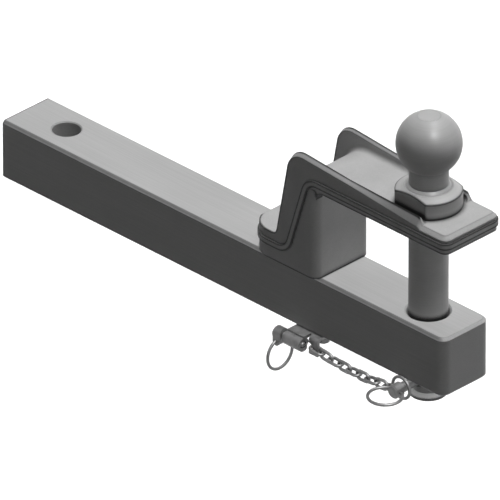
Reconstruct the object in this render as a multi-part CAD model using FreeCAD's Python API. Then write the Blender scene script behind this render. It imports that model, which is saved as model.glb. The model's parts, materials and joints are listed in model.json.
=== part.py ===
# Drawbar ball hitch for a tractor: a square bar, a forged bracket on top of it,
# a ball pin through both, and a locking pin under the bar on a short chain.
# Millimetres. The origin is on the rear pin bore's axis at half the bar's height.
# +X runs along the bar towards the ball, +Z is up.
import FreeCAD, Part
import os
from math import asin, atan2, cos, degrees, hypot, pi, radians, sin, sqrt, tan

V = FreeCAD.Vector

# Drawbar
BAR_WIDTH = 50.0
BAR_HEIGHT = 50.0
BAR_REAR_END = 43.0        # rear bore axis to the rear face
BORE_SPACING = 381.0       # rear bore axis to ball pin axis
BAR_FRONT_END = 40.0       # ball pin axis to the front face
REAR_BORE_D = 22.0
BAR_CORNER_R = 8.0         # the two upright front corners
BAR_EDGE_CHAMFER = 2.2
BORE_CHAMFER = 2.6
REAR_BORE_CHAMFER = 0.8

# Ball pin
BALL_D = 50.0
BALL_RISE = 52.0           # bracket plate's top to the ball's centre
BALL_FLAT_D = 17.5
SHAFT_D = 30.0
SHAFT_FIT = 0.08           # radial running clearance of a shaft in its hole
NECK_FILLET = 2.0
COLLAR_D = 51.0
COLLAR_WIDTH = 40.0        # over the two flats that face the ribs
COLLAR_HEIGHT = 16.5
COLLAR_FACE_D = 37.0       # flat ring at the collar's top
COLLAR_CONE_DROP = 3.2     # fall of the coned top from that ring to the rim
WAIST_D = 24.0
SHOULDER_HEIGHT = 3.0
PIN_END_HEIGHT = 2.3
PIN_END_CHAMFER = 0.7
PIN_BELOW_BAR = 20.3

# Hitch bracket, a forging
BRACKET_HALF_WIDTH = 28.8
ARM_CLEAR_HEIGHT = 76.5    # bar's top to the arm's underside
PLATE_THICKNESS = 14.5
ARM_OVERHANG = 45.5        # ball pin axis to the arm's end
ARM_CORNER_R = 6.0
FOOT_LENGTH = 71.5         # foot's rear end to the block's front face
BLOCK_TO_PIN = 89.0        # block's front face to the ball pin axis
BLOCK_CORNER_R = 7.0
FOOT_HEIGHT = 23.5
FOOT_EDGE_R = 2.5
FOOT_END_R = 21.0          # in plan
FOOT_TOP_LENGTH = 29.5     # foot's rear end to the riser's heel
RISER_LEAN = 0.19          # run over rise of the riser's back edge
RIB_CREST_RISE = 13.0      # plate's top to the crossing of the ridge and the riser's back
RIB_CREST_R = 16.0
RIB_KNEE_RISE = 8.3
RIB_KNEE_GAP = 55.0        # ball pin axis back to the knee in the ridge
RIB_KNEE_R = 60.0
RIB_END_RISE = 6.2
RIB_END_GAP = 15.5         # ball pin axis to where the ribs end
RIB_RUN_OUT = 3.0
RIB_END_R = 2.0
RIB_RIDGE_INSET = 3.0      # bracket's side to the ridge along a rib's top
RIB_CREST_BEVEL = 3.4      # fall from the ridge to the side, at the crest
RIB_KNEE_BEVEL = 2.8
RIB_END_BEVEL = 7.2        # the same fall where the ribs end
RIM_BEVEL = RIB_RIDGE_INSET  # bevel round the plate's top, in line with the ribs' bevel
HEEL_R = 5.0
ARMPIT_R = 7.0
CHANNEL_FIT = 3.6          # collar side to rib
CHANNEL_FILLET = 3.5       # clears the collar's lower edges
CHANNEL_BACK_INSET = 12.0  # rib's back edge to the channel's floor
CHANNEL_BEND_R = 26.0
BAND_WIDTH = 4.8           # the raised parting band
BAND_PROUD = 1.3
BAND_FOOT_HEIGHT = 14.0    # bar's top to the band's middle, at the foot
BAND_ARM_DROP = 7.8        # plate's top to the band's middle, along the arm
BAND_HEEL_X = 41.5         # foot's rear end to the band's lower bend
BAND_LEAN = 0.31
BAND_BEND_R = 13.0

# Screws that hold the bracket, from under the bar
SCREW_D = 16.0
SCREW_HEAD_D = 24.0
SCREW_HEAD_HEIGHT = 16.0
SCREW_SOCKET_AF = 14.0
SCREW_SOCKET_DEPTH = 8.0
SCREW_HEAD_CHAMFER = 1.0
SCREW_RECESS = 1.0         # head's end below the bar's underside, inwards
SCREW_HOLE_GAP = 0.5
SCREW_HEAD_GAP = 0.6
SCREW_BITE = 17.0          # length in the bracket
TAP_DEPTH = 2.0            # hole beyond the screw's end
REAR_SCREW_SETBACK = 50.0  # block's front face to each screw
FRONT_SCREW_SETBACK = 18.0

# Locking pin and ring pins
LOCK_DROP = 5.2            # bar's underside to the locking pin's axis
LOCK_D = 8.0
LOCK_FAR_END = 20.0        # ball pin axis to the locking pin's tip
LOCK_TIP_CHAMFER = 1.5
HEAD_D = 11.0
HEAD_LENGTH = 8.2
HEAD_FLAT = 9.0            # head's thickness along the ring's pivot
PIVOT_BACK = 4.4           # head's inner face to the ring's pivot
LOBE_DROP = 5.5            # pin's axis to the ring's pivot on the stowed pin
LOBE_R = 3.4
RING_MEAN_R = 13.0
RING_WIRE_D = 2.4
RING_STUB = 2.2            # ring's bent end inside the head
PIVOT_GAP = 0.2
HEAD_CHAMFER = 1.0

# Anchor strap for the chain
STRAP_THICKNESS = 2.5
STRAP_LENGTH = 27.5
STRAP_BEND_R = 1.0         # inside the bend down to the chain tab
EYE_LENGTH = 17.0
EYE_OFFSET = 7.8           # bar's side to the eye's axis
EYE_DROP = 1.4             # bar's underside to the eye's top
EYE_GAP = 1.5
STOWED_D = 6.0
STOWED_OUT = 3.5           # stowed pin's head to the eye
TAB_HOLE_D = 6.4
TAB_EDGE = 8.5             # chain hole's centre to the strap's front end
TAB_DROP = 15.0
STRAP_SCREW_D = 6.0
STRAP_SCREW_HEAD_AF = 10.0
STRAP_SCREW_HEAD_HEIGHT = 4.0
STRAP_SCREW_FACE_R = 4.8   # flat at the head's end, inside its bevelled corners
STRAP_SCREW_LENGTH = 14.0
STRAP_SCREW_INSET = 6.0    # strap's ends to the screws
STRAP_SCREW_WALL = 0.9     # screws' holes to the pocket of a bracket screw's head
STRAP_SCREW_EDGE = 6.0     # screws to the strap's inner edge
STRAP_WASHER_D = 12.0
STRAP_WASHER_THICKNESS = 1.6

# Chain
CHAIN_OFFSET = 2.7         # bar's side to the chain's middle
LINK_COUNT = 9
LINK_PITCH = 9.6
LINK_WIRE_D = 2.5
LINK_INNER_WIDTH = 4.4
LINK_GAP = 0.2
TAB_LINK_GAP = 0.8         # first link's bow to the chain hole's front edge
CHAIN_END_DEG = 8.0        # steepness of the sag at each end
END_RING_INNER_R = 7.5
END_RING_WIRE_D = 2.4
END_RING_SIDE_GAP = 0.7    # end ring to the locking pin's head
END_RING_PLAY = 2.7        # locking pin to the ring on the side of the pull
END_RING_PULL_DEG = 30.0   # slope of the chain's pull on the ring, below the level

# Heights and stations that follow from the sizes above
BAR_TOP = BAR_HEIGHT / 2
BAR_BOTTOM = -BAR_HEIGHT / 2
BAR_SIDE = -BAR_WIDTH / 2
BAR_REAR_X = -BAR_REAR_END
BAR_FRONT_X = BORE_SPACING + BAR_FRONT_END
PIN_X = BORE_SPACING
PIN_HOLE_R = SHAFT_D / 2 + SHAFT_FIT
ARM_BOTTOM = BAR_TOP + ARM_CLEAR_HEIGHT
PLATE_TOP = ARM_BOTTOM + PLATE_THICKNESS
BLOCK_FRONT_X = PIN_X - BLOCK_TO_PIN
FOOT_REAR_X = BLOCK_FRONT_X - FOOT_LENGTH
ARM_END_X = PIN_X + ARM_OVERHANG
FOOT_TOP = BAR_TOP + FOOT_HEIGHT
HEEL_X = FOOT_REAR_X + FOOT_TOP_LENGTH
BALL_Z = PLATE_TOP + BALL_RISE
PIN_BOTTOM = BAR_BOTTOM - PIN_BELOW_BAR
LOCK_Z = BAR_BOTTOM - LOCK_DROP
PULL_X = -cos(radians(END_RING_PULL_DEG))
PULL_Z = -sin(radians(END_RING_PULL_DEG))
END_RING_SHIFT = END_RING_INNER_R - LOCK_D / 2 - END_RING_PLAY
END_RING_X = PIN_X + END_RING_SHIFT * PULL_X
END_RING_Z = LOCK_Z + END_RING_SHIFT * PULL_Z
CHAIN_Y = BAR_SIDE - CHAIN_OFFSET
LOCK_HEAD_Y = CHAIN_Y - END_RING_WIRE_D / 2 - END_RING_SIDE_GAP
EYE_BORE_R = STOWED_D / 2 + SHAFT_FIT
EYE_OUTER_R = EYE_BORE_R + STRAP_THICKNESS
EYE_Y = BAR_SIDE - EYE_OFFSET
EYE_Z = BAR_BOTTOM - EYE_DROP - EYE_OUTER_R
POCKET_R = SCREW_HEAD_D / 2 + SCREW_HEAD_GAP
STRAP_SCREW_REACH = BAR_WIDTH / 2 - POCKET_R - STRAP_SCREW_WALL - STRAP_SCREW_D / 2
STRAP_REACH_IN = STRAP_SCREW_REACH + STRAP_SCREW_EDGE


def rounded_outline(corners):
    """Closed wire in the XZ plane through (x, z, radius) corners, rounded by arcs."""
    edges = []
    count = len(corners)
    starts = []
    ends = []
    mids = []
    for i, (x, z, r) in enumerate(corners):
        before = corners[i - 1]
        after = corners[(i + 1) % count]
        point = V(x, 0, z)
        to_before = (V(before[0], 0, before[1]) - point).normalize()
        to_after = (V(after[0], 0, after[1]) - point).normalize()
        if r == 0:
            starts.append(point)
            ends.append(point)
            mids.append(None)
            continue
        half = to_before.getAngle(to_after) / 2
        bisector = (to_before + to_after).normalize()
        starts.append(point + to_before * (r / tan(half)))
        ends.append(point + to_after * (r / tan(half)))
        mids.append(point + bisector * (r / sin(half) - r))
    for i in range(count):
        if mids[i] is not None:
            edges.append(Part.Arc(starts[i], mids[i], ends[i]).toShape())
        after = starts[(i + 1) % count]
        if ends[i].distanceToPoint(after) > 1e-6:
            edges.append(Part.makeLine(ends[i], after))
    return Part.Wire(edges)


def across(corners, half_width):
    """Solid of an XZ outline, as wide as the given half width on each side of Y = 0."""
    face = Part.Face(rounded_outline(corners))
    face.translate(V(0, -half_width, 0))
    return face.extrude(V(0, 2 * half_width, 0))


def plan_block(x0, x1, half_width, z0, z1, rear_r, front_r):
    """Upright block with rounded corners in plan."""
    block = Part.makeBox(x1 - x0, 2 * half_width, z1 - z0, V(x0, -half_width, z0))
    for x, r in ((x0, rear_r), (x1, front_r)):
        if r > 0:
            upright = [e for e in block.Edges if is_upright(e) and abs(e.CenterOfMass.x - x) < 1e-4]
            block = block.makeFillet(r, upright)
    return block


def is_upright(edge):
    """True for a straight edge along Z."""
    a = edge.Vertexes[0].Point
    b = edge.Vertexes[-1].Point
    return hypot(a.x - b.x, a.y - b.y) < 1e-6 and abs(a.z - b.z) > 1e-6


def turned(profile, x, y):
    """Solid of revolution about an upright axis from (radius, height) points."""
    points = [V(r, 0, z) for r, z in profile]
    points.append(points[0])
    solid = Part.Face(Part.makePolygon(points)).revolve(V(0, 0, 0), V(0, 0, 1), 360)
    solid.translate(V(x, y, 0))
    return solid


def rod(radius, start, end):
    """Cylinder between two points."""
    axis = end - start
    return Part.makeCylinder(radius, axis.Length, start, axis)


def hex_prism(across_flats, height, base, direction):
    """Hexagonal prism from its base's centre."""
    prism = Part.Face(Part.makePolygon([
        V(across_flats / sqrt(3) * cos(i * pi / 3), across_flats / sqrt(3) * sin(i * pi / 3), 0)
        for i in range(7)
    ])).extrude(V(0, 0, height))
    prism.Placement = FreeCAD.Placement(base, FreeCAD.Rotation(V(0, 0, 1), direction))
    return prism


def screw_stations():
    """X of the two bracket screws."""
    return [BLOCK_FRONT_X - REAR_SCREW_SETBACK, BLOCK_FRONT_X - FRONT_SCREW_SETBACK]


def strap_ends():
    """Rear and front X of the anchor strap, set back from the chain hole."""
    front = tab_hole_x() + TAB_EDGE
    return front - STRAP_LENGTH, front


def strap_screw_places():
    """(x, y) of the two strap screws."""
    rear, front = strap_ends()
    y = BAR_SIDE + STRAP_SCREW_REACH
    return [(rear + STRAP_SCREW_INSET, y), (front - STRAP_SCREW_INSET, y)]


def link_angle(index):
    """Slope of one link, falling at the rear end and rising at the front, in degrees."""
    return -CHAIN_END_DEG + 2 * CHAIN_END_DEG * index / (LINK_COUNT - 1)


def chain_joints():
    """(x, z) of each place where two links meet, from the strap's hole to the end ring."""
    first = LINK_PITCH + LINK_GAP / 2 + LINK_WIRE_D / 2
    spans = [first] + [LINK_PITCH] * (LINK_COUNT - 1)
    reach = END_RING_INNER_R - LINK_GAP
    x = END_RING_X + reach * PULL_X
    z = END_RING_Z + reach * PULL_Z
    joints = [(x, z)]
    for index in reversed(range(LINK_COUNT)):
        slope = radians(link_angle(index))
        x -= spans[index] * cos(slope)
        z -= spans[index] * sin(slope)
        joints.append((x, z))
    joints.reverse()
    return joints


def tab_hole_x():
    """X of the chain hole, so that the first link pulls on its front edge."""
    return chain_joints()[0][0] - (TAB_HOLE_D / 2 - LINK_WIRE_D / 2 - TAB_LINK_GAP)


def drawbar():
    """Solid square bar with a plain rear bore and the ball pin's bore."""
    bar = plan_block(BAR_REAR_X, BAR_FRONT_X, BAR_WIDTH / 2, BAR_BOTTOM, BAR_TOP, 0, BAR_CORNER_R)
    rims = [e for e in bar.Edges if not is_upright(e) and e.CenterOfMass.x > BAR_REAR_X + 1]
    bar = bar.makeChamfer(BAR_EDGE_CHAMFER, rims)
    bar = bar.cut(Part.makeCylinder(REAR_BORE_D / 2, BAR_HEIGHT, V(0, 0, BAR_BOTTOM)))
    bar = bar.cut(Part.makeCylinder(PIN_HOLE_R, BAR_HEIGHT, V(PIN_X, 0, BAR_BOTTOM)))
    for x, r, c in ((0, REAR_BORE_D / 2, REAR_BORE_CHAMFER), (PIN_X, PIN_HOLE_R, BORE_CHAMFER)):
        sink = turned([(0, BAR_TOP - c), (r, BAR_TOP - c), (r + c, BAR_TOP), (0, BAR_TOP)], x, 0)
        bar = bar.cut(sink)
    seat = SCREW_HEAD_HEIGHT + SCREW_RECESS
    for x in screw_stations():
        hole_r = SCREW_D / 2 + SCREW_HOLE_GAP
        bar = bar.cut(Part.makeCylinder(hole_r, BAR_HEIGHT, V(x, 0, BAR_BOTTOM)))
        sink_r = SCREW_HEAD_D / 2 + SCREW_HEAD_GAP
        bar = bar.cut(Part.makeCylinder(sink_r, seat, V(x, 0, BAR_BOTTOM)))
    depth = STRAP_SCREW_LENGTH - STRAP_THICKNESS - STRAP_WASHER_THICKNESS + TAP_DEPTH
    for x, y in strap_screw_places():
        bar = bar.cut(Part.makeCylinder(STRAP_SCREW_D / 2, depth, V(x, y, BAR_BOTTOM)))
    return bar


def bracket_outline(crest_fall, knee_fall, end_fall, rim_fall):
    """Side view of the bracket: foot, leaning riser, rib crest, arm and block.

    The rib's top and the plate's rim lie below the ridge line by the four falls.
    """
    crest_z = PLATE_TOP + RIB_CREST_RISE - crest_fall
    crest_x = HEEL_X + RISER_LEAN * (crest_z - FOOT_TOP)
    rib_end_x = PIN_X + RIB_END_GAP
    rim_z = PLATE_TOP - rim_fall
    return [
        (FOOT_REAR_X, BAR_TOP, 0),
        (FOOT_REAR_X, FOOT_TOP, FOOT_EDGE_R),
        (HEEL_X, FOOT_TOP, HEEL_R),
        (crest_x, crest_z, RIB_CREST_R),
        (PIN_X - RIB_KNEE_GAP, PLATE_TOP + RIB_KNEE_RISE - knee_fall, RIB_KNEE_R),
        (rib_end_x, PLATE_TOP + RIB_END_RISE - end_fall, RIB_END_R),
        (rib_end_x + RIB_RUN_OUT, rim_z, 0),
        (ARM_END_X, rim_z, 0),
        (ARM_END_X, ARM_BOTTOM, 0),
        (BLOCK_FRONT_X, ARM_BOTTOM, ARMPIT_R),
        (BLOCK_FRONT_X, BAR_TOP, 0),
    ]


def bevelled_body():
    """Body of the bracket with its roof-shaped rib tops, before its ends are rounded in plan."""
    wall = COLLAR_WIDTH / 2 + CHANNEL_FIT
    ridge = BRACKET_HALF_WIDTH - RIB_RIDGE_INSET
    fall = ridge - wall
    inner = bracket_outline(fall, fall, fall, 0)
    outer = bracket_outline(RIB_CREST_BEVEL, RIB_KNEE_BEVEL, RIB_END_BEVEL, RIM_BEVEL)
    flanks = []
    for side in (-1, 1):
        wires = []
        for y, corners in ((wall, inner), (ridge, bracket_outline(0, 0, 0, 0)),
                           (BRACKET_HALF_WIDTH, outer)):
            wire = rounded_outline(corners)
            wire.translate(V(0, side * y, 0))
            wires.append(wire)
        flanks.append(Part.makeLoft(wires[:2], True, True))
        flanks.append(Part.makeLoft(wires[1:], True, True))
    return across(inner, wall).fuse(flanks)


def channel():
    """Space between the ribs: over the arm's floor and down the riser's back."""
    back_x = HEEL_X + CHANNEL_BACK_INSET
    floor_x = back_x + RISER_LEAN * (PLATE_TOP - FOOT_TOP)
    above = PLATE_TOP + 3 * RIB_CREST_RISE
    half = COLLAR_WIDTH / 2 + CHANNEL_FIT
    outline = [
        (ARM_END_X + ARM_CORNER_R, PLATE_TOP, 0),
        (floor_x, PLATE_TOP, CHANNEL_BEND_R),
        (back_x, FOOT_TOP, HEEL_R),
        (FOOT_REAR_X - FOOT_END_R, FOOT_TOP, 0),
        (FOOT_REAR_X - FOOT_END_R, above, 0),
        (ARM_END_X + ARM_CORNER_R, above, 0),
    ]
    tool = across(outline, half)
    floor_edges = []
    for edge in tool.Edges:
        centre = edge.CenterOfMass
        if abs(abs(centre.y) - half) > 1e-4 or centre.z > PLATE_TOP + 1:
            continue
        if centre.x > FOOT_REAR_X - FOOT_END_R + 1:
            floor_edges.append(edge)
    return tool.makeFillet(CHANNEL_FILLET, floor_edges)


def band():
    """Raised band that follows the parting line up the riser and round the arm's end."""
    half = BAND_WIDTH / 2
    foot_z = BAR_TOP + BAND_FOOT_HEIGHT
    arm_z = PLATE_TOP - BAND_ARM_DROP
    heel_x = FOOT_REAR_X + BAND_HEEL_X
    crest_x = heel_x + BAND_LEAN * (arm_z - foot_z)
    lean = atan2(arm_z - foot_z, crest_x - heel_x)
    mitre = half * tan(lean / 2)
    rear_x = FOOT_REAR_X - FOOT_END_R
    front_x = ARM_END_X + ARM_CORNER_R
    outline = [
        (rear_x, foot_z - half, 0),
        (rear_x, foot_z + half, 0),
        (heel_x - mitre, foot_z + half, BAND_BEND_R - half),
        (crest_x - mitre, arm_z + half, BAND_BEND_R + half),
        (front_x, arm_z + half, 0),
        (front_x, arm_z - half, 0),
        (crest_x + mitre, arm_z - half, BAND_BEND_R - half),
        (heel_x + mitre, foot_z - half, BAND_BEND_R + half),
    ]
    wide = BRACKET_HALF_WIDTH + BAND_PROUD
    ribbon = across(outline, wide + 1)
    plan = plan_block(FOOT_REAR_X - BAND_PROUD, ARM_END_X + BAND_PROUD, wide, BAR_TOP, BALL_Z,
                      FOOT_END_R + BAND_PROUD, ARM_CORNER_R + BAND_PROUD)
    inside = Part.makeBox(BLOCK_TO_PIN + ARM_OVERHANG + FOOT_LENGTH, BRACKET_HALF_WIDTH, BALL_Z,
                          V(FOOT_REAR_X, -BRACKET_HALF_WIDTH / 2, 0))
    return ribbon.common(plan).cut(inside)


def bracket_plan():
    """Rounded plan of the bracket, full height at the ribs and bevelled round the plate's rim."""
    low = plan_block(FOOT_REAR_X, ARM_END_X, BRACKET_HALF_WIDTH, BAR_TOP, PLATE_TOP,
                     FOOT_END_R, ARM_CORNER_R)
    rim = [e for e in low.Edges if abs(e.BoundBox.ZMin - PLATE_TOP) < 1e-4]
    low = low.makeChamfer(RIM_BEVEL, rim)
    rib_front_x = PIN_X + RIB_END_GAP + RIB_RUN_OUT
    high = plan_block(FOOT_REAR_X, rib_front_x, BRACKET_HALF_WIDTH, BAR_TOP, BALL_Z, FOOT_END_R, 0)
    return low.fuse(high)


def joined_faces(shape):
    """The shape with its split faces joined, done about the ball pin, where rounding is least."""
    local = shape.copy()
    local.translate(V(-PIN_X, 0, 0))
    local = local.removeSplitter()
    local.translate(V(PIN_X, 0, 0))
    return local


def hitch_bracket():
    """The forging: body, parting band, channel between the ribs, pin hole and tapped holes."""
    body = bevelled_body().common(bracket_plan())
    body = round_block_corners(body)
    body = joined_faces(body.fuse(band()))
    body = body.cut(channel())
    body = body.cut(Part.makeCylinder(PIN_HOLE_R, 2 * PLATE_THICKNESS, V(PIN_X, 0, ARM_BOTTOM - 1)))
    for x in screw_stations():
        body = body.cut(Part.makeCylinder(SCREW_D / 2, SCREW_BITE + TAP_DEPTH, V(x, 0, BAR_TOP)))
    return joined_faces(body)


def round_block_corners(body):
    """Rounds the two upright front corners of the block under the arm."""
    height = ARM_CLEAR_HEIGHT
    reach = BLOCK_CORNER_R
    for side in (-1, 1):
        corner = Part.makeBox(reach, reach, height, V(BLOCK_FRONT_X - reach, 0, BAR_TOP))
        y = side * BRACKET_HALF_WIDTH
        corner.translate(V(0, y - reach if side > 0 else y, 0))
        core = Part.makeCylinder(reach, height, V(BLOCK_FRONT_X - reach, y - side * reach, BAR_TOP))
        body = body.cut(corner.cut(core))
    return body


def ball_pin():
    """One turned piece: ball, neck, square collar, shaft, waist and end, with a cross hole."""
    ball_r = BALL_D / 2
    neck_r = SHAFT_D / 2
    collar_top = PLATE_TOP + COLLAR_HEIGHT
    ball = Part.makeSphere(ball_r, V(PIN_X, 0, BALL_Z))
    flat_z = BALL_Z + sqrt(ball_r ** 2 - (BALL_FLAT_D / 2) ** 2)
    ball = ball.cut(Part.makeBox(BALL_D, BALL_D, BALL_D, V(PIN_X - ball_r, -ball_r, flat_z)))
    neck = Part.makeCylinder(neck_r, BALL_Z - collar_top, V(PIN_X, 0, collar_top))
    foot_r = neck_r + NECK_FILLET
    flare = turned([(0, collar_top), (foot_r, collar_top), (neck_r, collar_top + NECK_FILLET),
                    (0, collar_top + NECK_FILLET)], PIN_X, 0)
    rim_r = COLLAR_D / 2
    collar = turned([(0, PLATE_TOP), (rim_r, PLATE_TOP), (rim_r, collar_top - COLLAR_CONE_DROP),
                     (COLLAR_FACE_D / 2, collar_top), (0, collar_top)], PIN_X, 0)
    flats = Part.makeBox(COLLAR_D, COLLAR_WIDTH, COLLAR_HEIGHT,
                         V(PIN_X - rim_r, -COLLAR_WIDTH / 2, PLATE_TOP))
    collar = collar.common(flats)
    end_top = PIN_BOTTOM + PIN_END_HEIGHT
    waist_r = WAIST_D / 2
    c = PIN_END_CHAMFER
    waist_top = BAR_BOTTOM - SHOULDER_HEIGHT
    shaft = turned([
        (0, PLATE_TOP), (neck_r, PLATE_TOP), (neck_r, BAR_BOTTOM), (waist_r, waist_top),
        (waist_r, end_top + SHOULDER_HEIGHT), (neck_r, end_top), (neck_r, PIN_BOTTOM + c),
        (neck_r - c, PIN_BOTTOM), (0, PIN_BOTTOM),
    ], PIN_X, 0)
    pin = shaft.fuse([collar, flare, neck, ball]).removeSplitter()
    hole = rod(LOCK_D / 2 + SHAFT_FIT, V(PIN_X, -SHAFT_D, LOCK_Z), V(PIN_X, SHAFT_D, LOCK_Z))
    return pin.cut(hole)


def ring_pin(diameter, length, tip_chamfer, pivot_drop):
    """Pin along +X from its head's inner face at X = 0, ring pivot along Y."""
    r = diameter / 2
    c = tip_chamfer
    body = turned([(0, -HEAD_LENGTH), (HEAD_D / 2 - HEAD_CHAMFER, -HEAD_LENGTH),
                   (HEAD_D / 2, HEAD_CHAMFER - HEAD_LENGTH), (HEAD_D / 2, 0), (r, 0), (r, length - c), (r - c, length), (0, length)], 0, 0)
    body.rotate(V(0, 0, 0), V(0, 1, 0), 90)
    if pivot_drop > 0:
        lobe = rod(LOBE_R, V(-PIVOT_BACK, -HEAD_FLAT / 2, -pivot_drop),
                   V(-PIVOT_BACK, HEAD_FLAT / 2, -pivot_drop))
        neck = Part.makeBox(2 * LOBE_R, HEAD_FLAT, pivot_drop,
                            V(-PIVOT_BACK - LOBE_R, -HEAD_FLAT / 2, -pivot_drop))
        body = body.fuse([lobe, neck])
    for side in (-1, 1):
        face = side * HEAD_FLAT / 2
        slab = Part.makeBox(HEAD_LENGTH, HEAD_D, HEAD_D, V(-HEAD_LENGTH, 0, -HEAD_D / 2))
        slab.translate(V(0, face if side > 0 else face - HEAD_D, 0))
        body = body.cut(slab)
        deep = side * (HEAD_FLAT / 2 - RING_STUB - PIVOT_GAP)
        hole = rod(RING_WIRE_D / 2 + PIVOT_GAP / 2, V(-PIVOT_BACK, deep, -pivot_drop),
                   V(-PIVOT_BACK, side * HEAD_D, -pivot_drop))
        body = body.cut(hole)
    return body.removeSplitter()


def pull_ring(pivot_drop):
    """Wire ring that hangs from the head of a ring pin, its two ends bent into the head."""
    wire_r = RING_WIRE_D / 2
    reach = HEAD_FLAT / 2 + PIVOT_GAP + wire_r
    drop = sqrt(RING_MEAN_R ** 2 - reach ** 2)
    half_gap = degrees(asin(reach / RING_MEAN_R))
    centre = V(0, 0, -drop)
    section = Part.Face(Part.Wire(Part.makeCircle(wire_r, V(0, 0, RING_MEAN_R), V(0, 1, 0))))
    section.rotate(V(0, 0, 0), V(1, 0, 0), half_gap)
    hoop = section.revolve(V(0, 0, 0), V(1, 0, 0), 360 - 2 * half_gap)
    hoop.translate(centre)
    ring = hoop
    for side in (-1, 1):
        corner = V(0, side * reach, 0)
        inner = V(0, side * (HEAD_FLAT / 2 - RING_STUB), 0)
        ring = ring.fuse([Part.makeSphere(wire_r, corner), rod(wire_r, inner, corner)])
    ring.translate(V(-PIVOT_BACK, 0, -pivot_drop))
    return ring.removeSplitter()


def locking_place(shape):
    """Turns a ring pin so that its tip points along +Y through the ball pin's end."""
    shape.rotate(V(0, 0, 0), V(0, 0, 1), 90)
    shape.translate(V(PIN_X, LOCK_HEAD_Y, LOCK_Z))
    return shape


def stowed_place(shape):
    """Moves a ring pin into the strap's eye."""
    shape.translate(V(strap_ends()[0] - STOWED_OUT, EYE_Y, EYE_Z))
    return shape


def locking_pin():
    """Ring pin that holds the ball pin in the bar."""
    return locking_place(ring_pin(LOCK_D, LOCK_FAR_END - LOCK_HEAD_Y, LOCK_TIP_CHAMFER, 0))


def locking_ring():
    """Ring of the locking pin, swung out level as it is for pulling."""
    ring = pull_ring(0)
    ring.rotate(V(-PIVOT_BACK, 0, 0), V(0, 1, 0), 90)
    return locking_place(ring)


def stowed_pin():
    """Short ring pin kept in the eye of the anchor strap."""
    return stowed_place(ring_pin(STOWED_D, STOWED_OUT + EYE_LENGTH, LOCK_TIP_CHAMFER, LOBE_DROP))


def stowed_ring():
    """Ring of the stowed pin, hanging straight down."""
    return stowed_place(pull_ring(LOBE_DROP))


def anchor_strap():
    """Bent strip under the bar: a rolled eye at the rear and a down-turned chain tab in front."""
    rear, front = strap_ends()
    tab_rear = rear + EYE_LENGTH + EYE_GAP
    inner_y = BAR_SIDE + STRAP_REACH_IN
    leaf = Part.makeBox(front - rear, inner_y - CHAIN_Y, STRAP_THICKNESS,
                        V(rear, CHAIN_Y, BAR_BOTTOM - STRAP_THICKNESS))
    lip = Part.makeBox(EYE_LENGTH, CHAIN_Y - EYE_Y, STRAP_THICKNESS,
                       V(rear, EYE_Y, BAR_BOTTOM - STRAP_THICKNESS))
    tube = rod(EYE_OUTER_R, V(rear, EYE_Y, EYE_Z), V(rear + EYE_LENGTH, EYE_Y, EYE_Z))
    half = STRAP_THICKNESS / 2
    bend_r = STRAP_THICKNESS + STRAP_BEND_R
    bend_y = CHAIN_Y - half + bend_r
    top = BAR_BOTTOM
    low = BAR_BOTTOM - TAB_DROP
    tab = Part.makeBox(front - tab_rear, STRAP_THICKNESS, top - bend_r - low,
                       V(tab_rear, CHAIN_Y - half, low))
    bend = rod(bend_r, V(tab_rear, bend_y, top - bend_r), V(front, bend_y, top - bend_r))
    hollow = rod(bend_r - STRAP_THICKNESS, V(tab_rear, bend_y, top - bend_r),
                 V(front, bend_y, top - bend_r))
    quarter = Part.makeBox(front - tab_rear, bend_r, bend_r, V(tab_rear, bend_y - bend_r, top - bend_r))
    bend = bend.common(quarter).cut(hollow)
    trim = Part.makeBox(front - tab_rear + EYE_GAP, bend_y - CHAIN_Y + half, bend_r,
                        V(tab_rear - EYE_GAP, CHAIN_Y - half, top - bend_r))
    leaf = leaf.cut(trim)
    strap = leaf.fuse([lip, tube, tab, bend]).removeSplitter()
    strap = strap.cut(rod(EYE_BORE_R, V(rear - 1, EYE_Y, EYE_Z), V(rear + EYE_LENGTH + 1, EYE_Y, EYE_Z)))
    hole_x, hole_z = tab_hole_x(), chain_joints()[0][1]
    strap = strap.cut(rod(TAB_HOLE_D / 2, V(hole_x, CHAIN_Y - half - 1, hole_z),
                          V(hole_x, CHAIN_Y + half + 1, hole_z)))
    for x, y in strap_screw_places():
        hole = Part.makeCylinder(STRAP_SCREW_D / 2 + PIVOT_GAP, STRAP_THICKNESS,
                                 V(x, y, BAR_BOTTOM - STRAP_THICKNESS))
        strap = strap.cut(hole)
    return strap.removeSplitter()


def strap_washer(x, y):
    """Flat washer under a strap screw's head."""
    top = BAR_BOTTOM - STRAP_THICKNESS
    base = V(x, y, top - STRAP_WASHER_THICKNESS)
    disc = Part.makeCylinder(STRAP_WASHER_D / 2, STRAP_WASHER_THICKNESS, base)
    hole = Part.makeCylinder(STRAP_SCREW_D / 2 + PIVOT_GAP, STRAP_WASHER_THICKNESS, base)
    return disc.cut(hole)


def strap_screw(x, y):
    """Hexagon-head screw that holds the strap up against the bar."""
    seat = BAR_BOTTOM - STRAP_THICKNESS - STRAP_WASHER_THICKNESS
    head = hex_prism(STRAP_SCREW_HEAD_AF, STRAP_SCREW_HEAD_HEIGHT, V(x, y, seat - STRAP_SCREW_HEAD_HEIGHT),
                     V(0, 0, 1))
    outer = STRAP_SCREW_HEAD_AF
    low = seat - STRAP_SCREW_HEAD_HEIGHT
    cone = turned([(0, low), (STRAP_SCREW_FACE_R, low), (outer, low + outer / 2), (outer, seat),
                   (0, seat)], x, y)
    shank = Part.makeCylinder(STRAP_SCREW_D / 2, STRAP_SCREW_LENGTH, V(x, y, seat))
    return head.common(cone).fuse(shank).removeSplitter()


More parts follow.
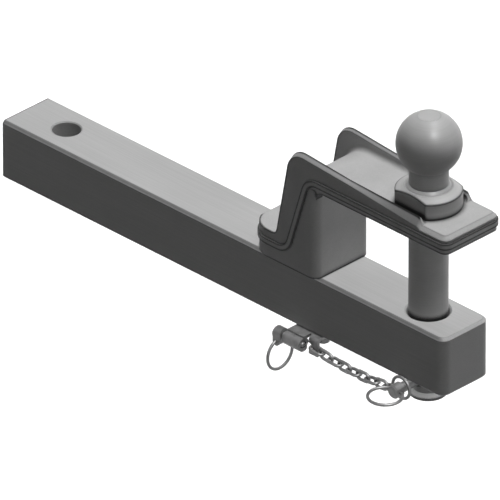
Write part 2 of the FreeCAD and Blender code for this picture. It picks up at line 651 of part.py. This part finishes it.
def bracket_screw(x):
    """Socket-head screw, up through the bar into the bracket."""
    low = BAR_BOTTOM + SCREW_RECESS
    seat = low + SCREW_HEAD_HEIGHT
    head = Part.makeCylinder(SCREW_HEAD_D / 2, SCREW_HEAD_HEIGHT, V(x, 0, low))
    rim = [e for e in head.Edges if abs(e.CenterOfMass.z - low) < 1e-6 and e.Closed]
    head = head.makeChamfer(SCREW_HEAD_CHAMFER, rim)
    shank = Part.makeCylinder(SCREW_D / 2, BAR_TOP + SCREW_BITE - seat, V(x, 0, seat))
    socket = hex_prism(SCREW_SOCKET_AF, SCREW_SOCKET_DEPTH, V(x, 0, low), V(0, 0, 1))
    return head.fuse(shank).cut(socket).removeSplitter()


def oval_link():
    """Chain link about the origin in the XY plane, long way along X."""
    wire_r = LINK_WIRE_D / 2
    bow_r = LINK_INNER_WIDTH / 2 + wire_r
    straight = LINK_PITCH + LINK_GAP - LINK_INNER_WIDTH
    parts = []
    for side in (-1, 1):
        centre = V(side * straight / 2, 0, 0)
        section = Part.Face(Part.Wire(Part.makeCircle(wire_r, V(0, bow_r, 0), V(1, 0, 0))))
        bow = section.revolve(V(0, 0, 0), V(0, 0, 1), -180 * side)
        bow.translate(centre)
        parts.append(bow)
        y = side * bow_r
        parts.append(rod(wire_r, V(-straight / 2, y, 0), V(straight / 2, y, 0)))
    return parts[0].fuse(parts[1:]).removeSplitter()


def chain_link(index):
    """One link of the sagging chain, flat and upright by turns."""
    joints = chain_joints()
    slope = radians(link_angle(index))
    front_x, front_z = joints[index + 1]
    middle_x = front_x - LINK_PITCH / 2 * cos(slope)
    middle_z = front_z - LINK_PITCH / 2 * sin(slope)
    link = oval_link()
    if index % 2 == 1:
        link.rotate(V(0, 0, 0), V(1, 0, 0), 90)
    link.rotate(V(0, 0, 0), V(0, 1, 0), -link_angle(index))
    link.translate(V(middle_x, CHAIN_Y, middle_z))
    return link


def chain_end_ring():
    """Round ring on the chain's last link, loose round the locking pin."""
    wire_r = END_RING_WIRE_D / 2
    mean_r = END_RING_INNER_R + wire_r
    return Part.makeTorus(mean_r, wire_r, V(END_RING_X, CHAIN_Y, END_RING_Z), V(0, 1, 0))


def build():
    """All nodes by name."""
    nodes = {
        "drawbar": drawbar(),
        "hitch_bracket": hitch_bracket(),
        "ball_pin": ball_pin(),
        "locking_pin": locking_pin(),
        "locking_ring": locking_ring(),
        "stowed_pin": stowed_pin(),
        "stowed_ring": stowed_ring(),
        "anchor_strap": anchor_strap(),
        "chain_end_ring": chain_end_ring(),
    }
    for name, x in zip(("rear", "front"), screw_stations()):
        nodes["bracket_screw_" + name] = bracket_screw(x)
    for name, (x, y) in zip(("rear", "front"), strap_screw_places()):
        nodes["strap_washer_" + name] = strap_washer(x, y)
        nodes["strap_screw_" + name] = strap_screw(x, y)
    for index in range(LINK_COUNT):
        nodes["chain_link_%02d" % (index + 1)] = chain_link(index)
    return nodes


os.makedirs("parts", exist_ok=True)
for name, shape in build().items():
    shape.exportStep("parts/" + name + ".step")
    box = shape.BoundBox
    print("%-22s valid %s solids %d volume %9.1f  x %7.2f %7.2f  y %7.2f %7.2f  z %7.2f %7.2f" % (
        name, shape.isValid(), len(shape.Solids), shape.Volume,
        box.XMin, box.XMax, box.YMin, box.YMax, box.ZMin, box.ZMax))
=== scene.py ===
# %% [markdown]
# # Tractor drawbar hitch
# A square steel bar, a forged bracket on top of it, a turned ball pin through both, and a
# locking pin on a short chain. The solid model is loaded first and stays where it is.
# Every shape is in it, so what follows is only finish, floor, light and camera.

# %% Load the solid model
import json
import math

import bpy
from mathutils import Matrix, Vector


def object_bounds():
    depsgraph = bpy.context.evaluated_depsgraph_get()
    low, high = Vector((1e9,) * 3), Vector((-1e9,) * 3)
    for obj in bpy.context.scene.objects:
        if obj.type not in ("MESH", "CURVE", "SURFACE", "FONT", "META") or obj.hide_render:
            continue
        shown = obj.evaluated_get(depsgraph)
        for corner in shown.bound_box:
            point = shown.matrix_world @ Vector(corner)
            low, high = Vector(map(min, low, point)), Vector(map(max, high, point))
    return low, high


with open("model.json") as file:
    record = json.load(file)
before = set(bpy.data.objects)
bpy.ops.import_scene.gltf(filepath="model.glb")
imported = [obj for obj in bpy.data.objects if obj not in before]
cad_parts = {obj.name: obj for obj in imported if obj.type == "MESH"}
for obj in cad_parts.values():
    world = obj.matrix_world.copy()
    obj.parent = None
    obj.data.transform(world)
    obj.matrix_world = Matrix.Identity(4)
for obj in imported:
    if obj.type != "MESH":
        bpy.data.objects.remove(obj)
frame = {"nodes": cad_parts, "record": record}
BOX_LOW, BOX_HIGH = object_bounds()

NODES = frame["nodes"]
MM = 0.001
print("nodes", len(NODES), "box mm", [round(v / MM, 1) for v in (*BOX_LOW, *BOX_HIGH)])

# %% [markdown]
# ## Colours and nodes
# A colour given as a hex code is an sRGB value, but the renderer adds light in linear values, so
# one function turns the hex code into them. Another adds any node with its settings and its
# inputs, which are numbers, hex codes or what other nodes give out. With these two, a
# material reads as a list of what is done to the surface.

# %% Helpers for colours and nodes
def linear(hex_code):
    """sRGB hex to linear RGBA."""
    channels = [int(hex_code[start:start + 2], 16) / 255 for start in (1, 3, 5)]
    red, green, blue = (c / 12.92 if c <= 0.04045 else ((c + 0.055) / 1.055) ** 2.4
                        for c in channels)
    return red, green, blue, 1.0


def add(tree, kind, inputs=None, **settings):
    """A node with its settings; each input is a number, a hex code or a node's output."""
    node = tree.nodes.new(kind)
    for key, value in settings.items():
        setattr(node, key, value)
    for key, value in (inputs or {}).items():
        if isinstance(value, bpy.types.NodeSocket):
            tree.links.new(value, node.inputs[key])
        else:
            node.inputs[key].default_value = linear(value) if isinstance(value, str) else value
    return node


print("mid grey is", round(linear("#808080")[0], 3), "in linear light")

# %% [markdown]
# ## Greys that change from place to place
# No real finish is one flat grey. Noise gives a number at each place on the piece, and a
# second step turns that number into a grey between a darker and a paler one. Noise is
# measured on Object coordinates, in metres from the piece's origin, so its grain has a real
# size and stays on the steel when the piece moves.

# %% Grain and greys
SHARE, UNDER, OVER, MIXED = 0, 6, 7, 2      # places of a colour mix's inputs and its output
WIDE, NARROW = (0.30, 0.70), (0.35, 0.65)   # parts of the noise's range in which greys change


def grain(tree, size_mm, stretch=(1.0, 1.0, 1.0), detail=2.0):
    """Noise of that many millimetres on the piece, stretched along X, Y and Z."""
    place = add(tree, "ShaderNodeTexCoord").outputs["Object"]
    squeezed = add(tree, "ShaderNodeMapping",
                   {"Vector": place, "Scale": tuple(1 / factor for factor in stretch)})
    return add(tree, "ShaderNodeTexNoise",
               {"Vector": squeezed.outputs["Vector"], "Scale": 1 / (size_mm * MM),
                "Detail": detail}).outputs["Fac"]


def greys(tree, measure, limits, first, last):
    """Colour that goes from first to last as the measure goes from limit to limit."""
    share = add(tree, "ShaderNodeMapRange",
                {"Value": measure, "From Min": limits[0], "From Max": limits[1]})
    return add(tree, "ShaderNodeMix",
               {SHARE: share.outputs["Result"], UNDER: first, OVER: last},
               data_type="RGBA").outputs[MIXED]


def two_grains(tree, cloud, cloud_greys, marks, mark_greys, share):
    """Cloudy greys with that share of the marks' own greys laid over them."""
    return add(tree, "ShaderNodeMix",
               {SHARE: share, UNDER: greys(tree, cloud, WIDE, *cloud_greys),
                OVER: greys(tree, marks, NARROW, *mark_greys)}, data_type="RGBA").outputs[MIXED]


print("greys change over", WIDE, "and", NARROW, "of the noise")

# %% [markdown]
# ## Painted shade in corners
# Inner corners are darkened in the colour itself: this is painted shade, a thin dark line where
# shade falls. Ambient occlusion measures how closed in each point is over a few
# millimetres. The colour is all dark under the first of two limits and unchanged over the second.

# %% Painted shade in the corners
def with_painted_corner_shade(tree, colour, reach_mm, dark, limits):
    """Colour with painted shade in corners, where there is little open air in reach."""
    air = add(tree, "ShaderNodeAmbientOcclusion", {"Distance": reach_mm * MM}, samples=8)
    return greys(tree, air.outputs["AO"], limits, dark, colour)


# %% [markdown]
# ## Edges where the steel shows dark
# Wet paint draws back from a sharp outer edge, so the dark skin of the steel shows there as a
# thin line. The same measure, traced inwards, finds such edges: close to an edge the rays
# leave the metal again after a short way. It finds them all, so none is masked by hand.

# %% Bare outer edges
def with_edges(tree, colour, reach_mm, dark, limits):
    """Colour that turns dark on outer edges, where there is little metal in reach."""
    metal = add(tree, "ShaderNodeAmbientOcclusion", {"Distance": reach_mm * MM}, samples=16,
                inside=True, only_local=True)
    return greys(tree, metal.outputs["AO"], limits, dark, colour)


# %% [markdown]
# ## A finish from its parts
# Paint, phosphate and zinc all come down to the same few things: a colour, how rough the
# surface is, how deep its marks are, and how much it shines. One function wires them to a
# shader, and another puts the material on every piece that the record gives that finish.
# The shader has no metal in it unless a finish says otherwise.

# %% Put a finish on the pieces
def new_tree(name):
    """New, empty material of that name, and its node tree."""
    material = bpy.data.materials.new(name)
    material.use_nodes = True
    material.node_tree.nodes.clear()
    return material, material.node_tree


def cover(tree, inputs):
    """Shader with these inputs, wired to the material's output."""
    shader = add(tree, "ShaderNodeBsdfPrincipled", inputs)
    add(tree, "ShaderNodeOutputMaterial", {"Surface": shader.outputs["BSDF"]})


def put_on(material, slot):
    """Gives the material to every piece whose slot in the record has that name."""
    nodes = [part["node"] for part in frame["record"]["subparts"]
             if part["material_slot"] == slot]
    for node in nodes:
        NODES[node].data.materials.clear()
        NODES[node].data.materials.append(material)
    print(material.name, "on", len(nodes), "pieces")


# %% [markdown]
# ## Grey primer on the bar
# The bar is cold-drawn square steel under a thin coat of grey primer. Drawing leaves shallow
# lines along its length, a few tenths of a millimetre apart and drawn here at 1.2 mm, so that
# they show. The paint softens but doesn't hide them. It is chalky, so it is rough, and its
# shine of 0.18 is well under the usual 0.5. Where hands and the guide rub the long edges,
# the paint is thin and the darker steel shows through, more in some places than in others.

# %% Primed bar
BAR_HALF_MM = 25.0
RUB_STARTS_MM, RUB_FULL_MM = 3.2, 1.0   # how deep under a face the rub starts and is full
RUB_LEAST = 0.7                         # share of the full rub where hands reach least
PRIMER_SHINE = 0.18

primed_bar, tree = new_tree("primed_drawn_bar")
lines = grain(tree, 1.2, stretch=(60.0, 1.0, 1.0), detail=3.0)
cloud = grain(tree, 38.0, stretch=(3.0, 1.0, 1.0))
paint = two_grains(tree, cloud, ("#a8a8a8", "#b0b0b0"), lines, ("#9e9e9e", "#b4b4b4"), share=0.25)

rub = add(tree, "ShaderNodeMapRange",
          {"Value": grain(tree, 9.0), "To Min": RUB_LEAST}).outputs["Result"]
place = add(tree, "ShaderNodeTexCoord").outputs["Object"]
axes = add(tree, "ShaderNodeSeparateXYZ", {"Vector": place}).outputs
for axis in ("Y", "Z"):
    off_middle = add(tree, "ShaderNodeMath", {0: axes[axis]}, operation="ABSOLUTE")
    near_face = add(tree, "ShaderNodeMapRange",
                    {"Value": off_middle.outputs[0],
                     "From Min": (BAR_HALF_MM - RUB_STARTS_MM) * MM,
                     "From Max": (BAR_HALF_MM - RUB_FULL_MM) * MM})
    rub = add(tree, "ShaderNodeMath", {0: rub, 1: near_face.outputs["Result"]},
              operation="MULTIPLY").outputs[0]
wear_and_painted_shade = add(tree, "ShaderNodeMix", {SHARE: rub, UNDER: paint, OVER: "#646464"},
           data_type="RGBA").outputs[MIXED]
wear_and_painted_shade = with_edges(tree, wear_and_painted_shade, reach_mm=1.6, dark="#484848", limits=(0.60, 0.92))
# Painted shade: the colour is darkened in inner corners, where shade falls.
wear_and_painted_shade = with_painted_corner_shade(tree, wear_and_painted_shade, reach_mm=2.5, dark="#4c4c4c", limits=(0.35, 0.80))

rough = add(tree, "ShaderNodeMapRange", {"Value": cloud, "To Min": 0.52, "To Max": 0.64})
marks = add(tree, "ShaderNodeBump", {"Height": lines, "Distance": 0.03 * MM, "Strength": 1.0})
cover(tree, {"Base Color": wear_and_painted_shade, "Roughness": rough.outputs["Result"],
             "Normal": marks.outputs["Normal"], "Specular IOR Level": PRIMER_SHINE})
put_on(primed_bar, "bar_steel")

# %% [markdown]
# ## Shot-blasted forging
# A drop forging is blasted with steel shot to clean it, which leaves a fine pebbled skin all
# over, and the primer follows that skin. The grain of about 0.6 mm is drawn a little coarser
# than it is, so that it shows. Two sizes of noise make it: pebbles, and shallow dents over
# them. The skin scatters light more than the drawn bar does, so it is a little rougher.

# %% Blasted forging
blasted_forging, tree = new_tree("primed_blasted_forging")
pebble = grain(tree, 1.1, detail=3.0)
dents = grain(tree, 7.0)
cloud = grain(tree, 24.0)
paint = two_grains(tree, cloud, ("#a8a8a8", "#b1b1b1"), pebble, ("#989898", "#b8b8b8"), share=0.20)
wear_and_painted_shade = with_edges(tree, paint, reach_mm=2.0, dark="#363636", limits=(0.68, 0.96))
# Painted shade: the colour is darkened in inner corners, where shade falls.
wear_and_painted_shade = with_painted_corner_shade(tree, wear_and_painted_shade, reach_mm=6.0, dark="#303030", limits=(0.50, 0.90))

rough = add(tree, "ShaderNodeMapRange", {"Value": pebble, "To Min": 0.54, "To Max": 0.68})
skin = add(tree, "ShaderNodeBump", {"Height": pebble, "Distance": 0.05 * MM, "Strength": 1.0})
marks = add(tree, "ShaderNodeBump", {"Height": dents, "Distance": 0.10 * MM, "Strength": 1.0,
                                     "Normal": skin.outputs["Normal"]})
cover(tree, {"Base Color": wear_and_painted_shade, "Roughness": rough.outputs["Result"],
             "Normal": marks.outputs["Normal"], "Specular IOR Level": PRIMER_SHINE})
put_on(blasted_forging, "forged_steel")

# %% [markdown]
# ## Turned and phosphated ball pin
# The pin is turned in a lathe, so its marks are fine rings round its own axis. The noise is
# stretched so far along X and Y that it changes along Z only. A phosphate coat makes the
# steel a dull even grey with a soft, oily sheen, brightest on the ball: it is smoother than
# the paint, and being a coat it isn't set as metal.

# %% Turned pin
turned_pin, tree = new_tree("phosphated_turned_steel")
rings = grain(tree, 0.9, stretch=(400.0, 400.0, 1.0))
cloud = grain(tree, 18.0)
coat = two_grains(tree, cloud, ("#acacac", "#b4b4b4"), rings, ("#a2a2a2", "#bcbcbc"), share=0.20)
wear_and_painted_shade = with_edges(tree, coat, reach_mm=2.0, dark="#303030", limits=(0.78, 0.99))
# Painted shade: the colour is darkened in inner corners and under the ball, where shade falls.
wear_and_painted_shade = with_painted_corner_shade(tree, wear_and_painted_shade, reach_mm=5.0, dark="#262626", limits=(0.60, 0.95))

rough = add(tree, "ShaderNodeMapRange", {"Value": cloud, "To Min": 0.38, "To Max": 0.46})
marks = add(tree, "ShaderNodeBump", {"Height": rings, "Distance": 0.012 * MM, "Strength": 1.0})
cover(tree, {"Base Color": wear_and_painted_shade, "Roughness": rough.outputs["Result"],
             "Normal": marks.outputs["Normal"], "Specular IOR Level": 0.2})
put_on(turned_pin, "turned_steel")

# %% [markdown]
# ## Zinc-plated small parts
# Chain, pins, strap and screws are zinc plated: a greyish metal with faint cloudy spangles,
# and painted shade where links and holes meet. New zinc is all metal. This has gone dull
# and mirrors little, so only about a third of it is set as metal.

# %% Plated steel
plated_steel, tree = new_tree("zinc_plated_steel")
cloud = grain(tree, 5.0)
zinc = greys(tree, cloud, WIDE, "#6e6e6e", "#828282")
# Painted shade: the colour is darkened in corners where links and holes meet, where shade falls.
wear_and_painted_shade = with_painted_corner_shade(tree, zinc, reach_mm=1.5, dark="#303030", limits=(0.35, 0.80))
rough = add(tree, "ShaderNodeMapRange", {"Value": cloud, "To Min": 0.36, "To Max": 0.50})
marks = add(tree, "ShaderNodeBump", {"Height": cloud, "Distance": 0.05 * MM, "Strength": 1.0})
cover(tree, {"Base Color": wear_and_painted_shade, "Roughness": rough.outputs["Result"],
             "Normal": marks.outputs["Normal"], "Metallic": 0.35})
put_on(plated_steel, "plated_steel")

# %% [markdown]
# ## Floor
# A wide pale floor lies well below the hitch, which hangs in the tractor's drawbar guide and
# touches no ground. It is white to the eye but dark to light that bounces on to matt steel,
# so the undersides and sides of the steel keep their depth. A faint glow of its own lifts
# the floor to white and still leaves it the shadow.

# %% Floor
FLOOR_DROP = 0.25            # metres under the lowest point of the hitch
FLOOR_HALF = 20.0
FLOOR_TO_STEEL = "#242424"   # what matt steel sees of the floor
FLOOR_GLOW = 0.14


def white_to_the_eye(tree, to_steel):
    """White that rays from matt steel see as the darker colour, and a mask of those rays."""
    from_matt = add(tree, "ShaderNodeLightPath").outputs["Is Diffuse Ray"]
    return add(tree, "ShaderNodeMix", {SHARE: from_matt, UNDER: "#ffffff", OVER: to_steel},
               data_type="RGBA").outputs[MIXED], from_matt


bpy.ops.object.select_all(action="DESELECT")
bpy.ops.mesh.primitive_plane_add(size=2 * FLOOR_HALF, location=(0, 0, BOX_LOW.z - FLOOR_DROP))
floor = bpy.context.object
floor.name = "floor"
pale_floor, tree = new_tree("pale_floor")
tone, from_matt = white_to_the_eye(tree, FLOOR_TO_STEEL)
glow = add(tree, "ShaderNodeMapRange", {"Value": from_matt, "To Min": FLOOR_GLOW, "To Max": 0.0})
cover(tree, {"Base Color": tone, "Roughness": 1.0, "Specular IOR Level": 0.0,
             "Emission Color": "#ffffff", "Emission Strength": glow.outputs["Result"]})
floor.data.materials.append(pale_floor)
print("floor", round((BOX_LOW.z - FLOOR_DROP) / MM, 1), "mm")

# %% [markdown]
# ## Lamps
# There are four lamps, all suns, because a sun lights near and far alike, as the even picture
# does. The light from overhead makes the tops pale and leaves the near sides dark. Most of it
# casts no shadow, so that the bar stays pale under the arm, and a weak lamp beside it casts
# the soft shadows. A lamp in front and to the right lifts the bar's end and the ball. The
# last one lights nothing matt: it only puts the broad gleam on the ball.

# %% Lamps
OVERHEAD = (0.08, 0.26, 0.96)
IN_FRONT = (0.52, -0.24, 0.82)
GLEAM_FROM = (0.565, -0.137, 0.813)


def sun(name, direction, strength, spread_deg, casts_shadow=True):
    """Sun lamp that shines from the given direction."""
    bpy.ops.object.light_add(type="SUN", location=(0, 0, 1))
    lamp = bpy.context.object
    lamp.name = name
    lamp.data.energy = strength
    lamp.data.angle = math.radians(spread_deg)
    lamp.data.use_shadow = casts_shadow
    lamp.rotation_mode = "QUATERNION"
    lamp.rotation_quaternion = Vector(direction).to_track_quat("Z", "Y")
    return lamp


sun("overhead_lamp", OVERHEAD, strength=0.35, spread_deg=40.0)
sun("overhead_lamp_without_shadow", OVERHEAD, strength=2.60, spread_deg=20.0,
    casts_shadow=False)
sun("front_lamp", IN_FRONT, strength=0.52, spread_deg=14.0, casts_shadow=False)
gleam = sun("gleam_lamp", GLEAM_FROM, strength=6.0, spread_deg=10.0)
gleam.visible_diffuse = False

# %% [markdown]
# ## World
# The air round the hitch is white to the eye and in gloss, as a studio's walls are. To matt
# steel it is dark grey, because white air would light every side alike and flatten the form.

# %% World
WORLD_TO_STEEL = "#303030"   # what matt steel sees of the world

world = bpy.data.worlds.new("studio")
bpy.context.scene.world = world
world.use_nodes = True
tree = world.node_tree
tree.nodes.clear()
tone, _ = white_to_the_eye(tree, WORLD_TO_STEEL)
sky = add(tree, "ShaderNodeBackground", {"Color": tone, "Strength": 1.0})
add(tree, "ShaderNodeOutputWorld", {"Surface": sky.outputs["Background"]})
print("world", WORLD_TO_STEEL, "to matt steel")

# %% [markdown]
# ## Camera
# The picture is a parallel view from 45 degrees round and 30 degrees up. A very long lens far
# away gives nearly the same, and still follows when the view is turned to other sides.

# %% Camera
AZIMUTH_DEG = 44.85
ELEVATION_DEG = 30.25
LENS_MM = 1700.0
SENSOR_MM = 36.0
FRAME_WIDTH = 0.3735         # metres across the picture
AIM = Vector((0.1941, 0.00032, -0.00056))
DISTANCE = FRAME_WIDTH * LENS_MM / SENSOR_MM
NEAREST, FARTHEST = 0.1, 200.0

bpy.ops.object.camera_add()
camera = bpy.context.object
camera.name = "camera"
camera.data.lens = LENS_MM
camera.data.sensor_width = SENSOR_MM
camera.data.clip_start = NEAREST
camera.data.clip_end = FARTHEST
azimuth, elevation = math.radians(AZIMUTH_DEG), math.radians(ELEVATION_DEG)
back = Vector((math.sin(azimuth) * math.cos(elevation),
               -math.cos(azimuth) * math.cos(elevation), math.sin(elevation)))
camera.location = AIM + back * DISTANCE
camera.rotation_mode = "QUATERNION"
camera.rotation_quaternion = (-back).to_track_quat("-Z", "Y")
bpy.context.scene.camera = camera
bpy.context.scene.view_settings.view_transform = "Standard"
print("camera", round(DISTANCE, 2), "m away")
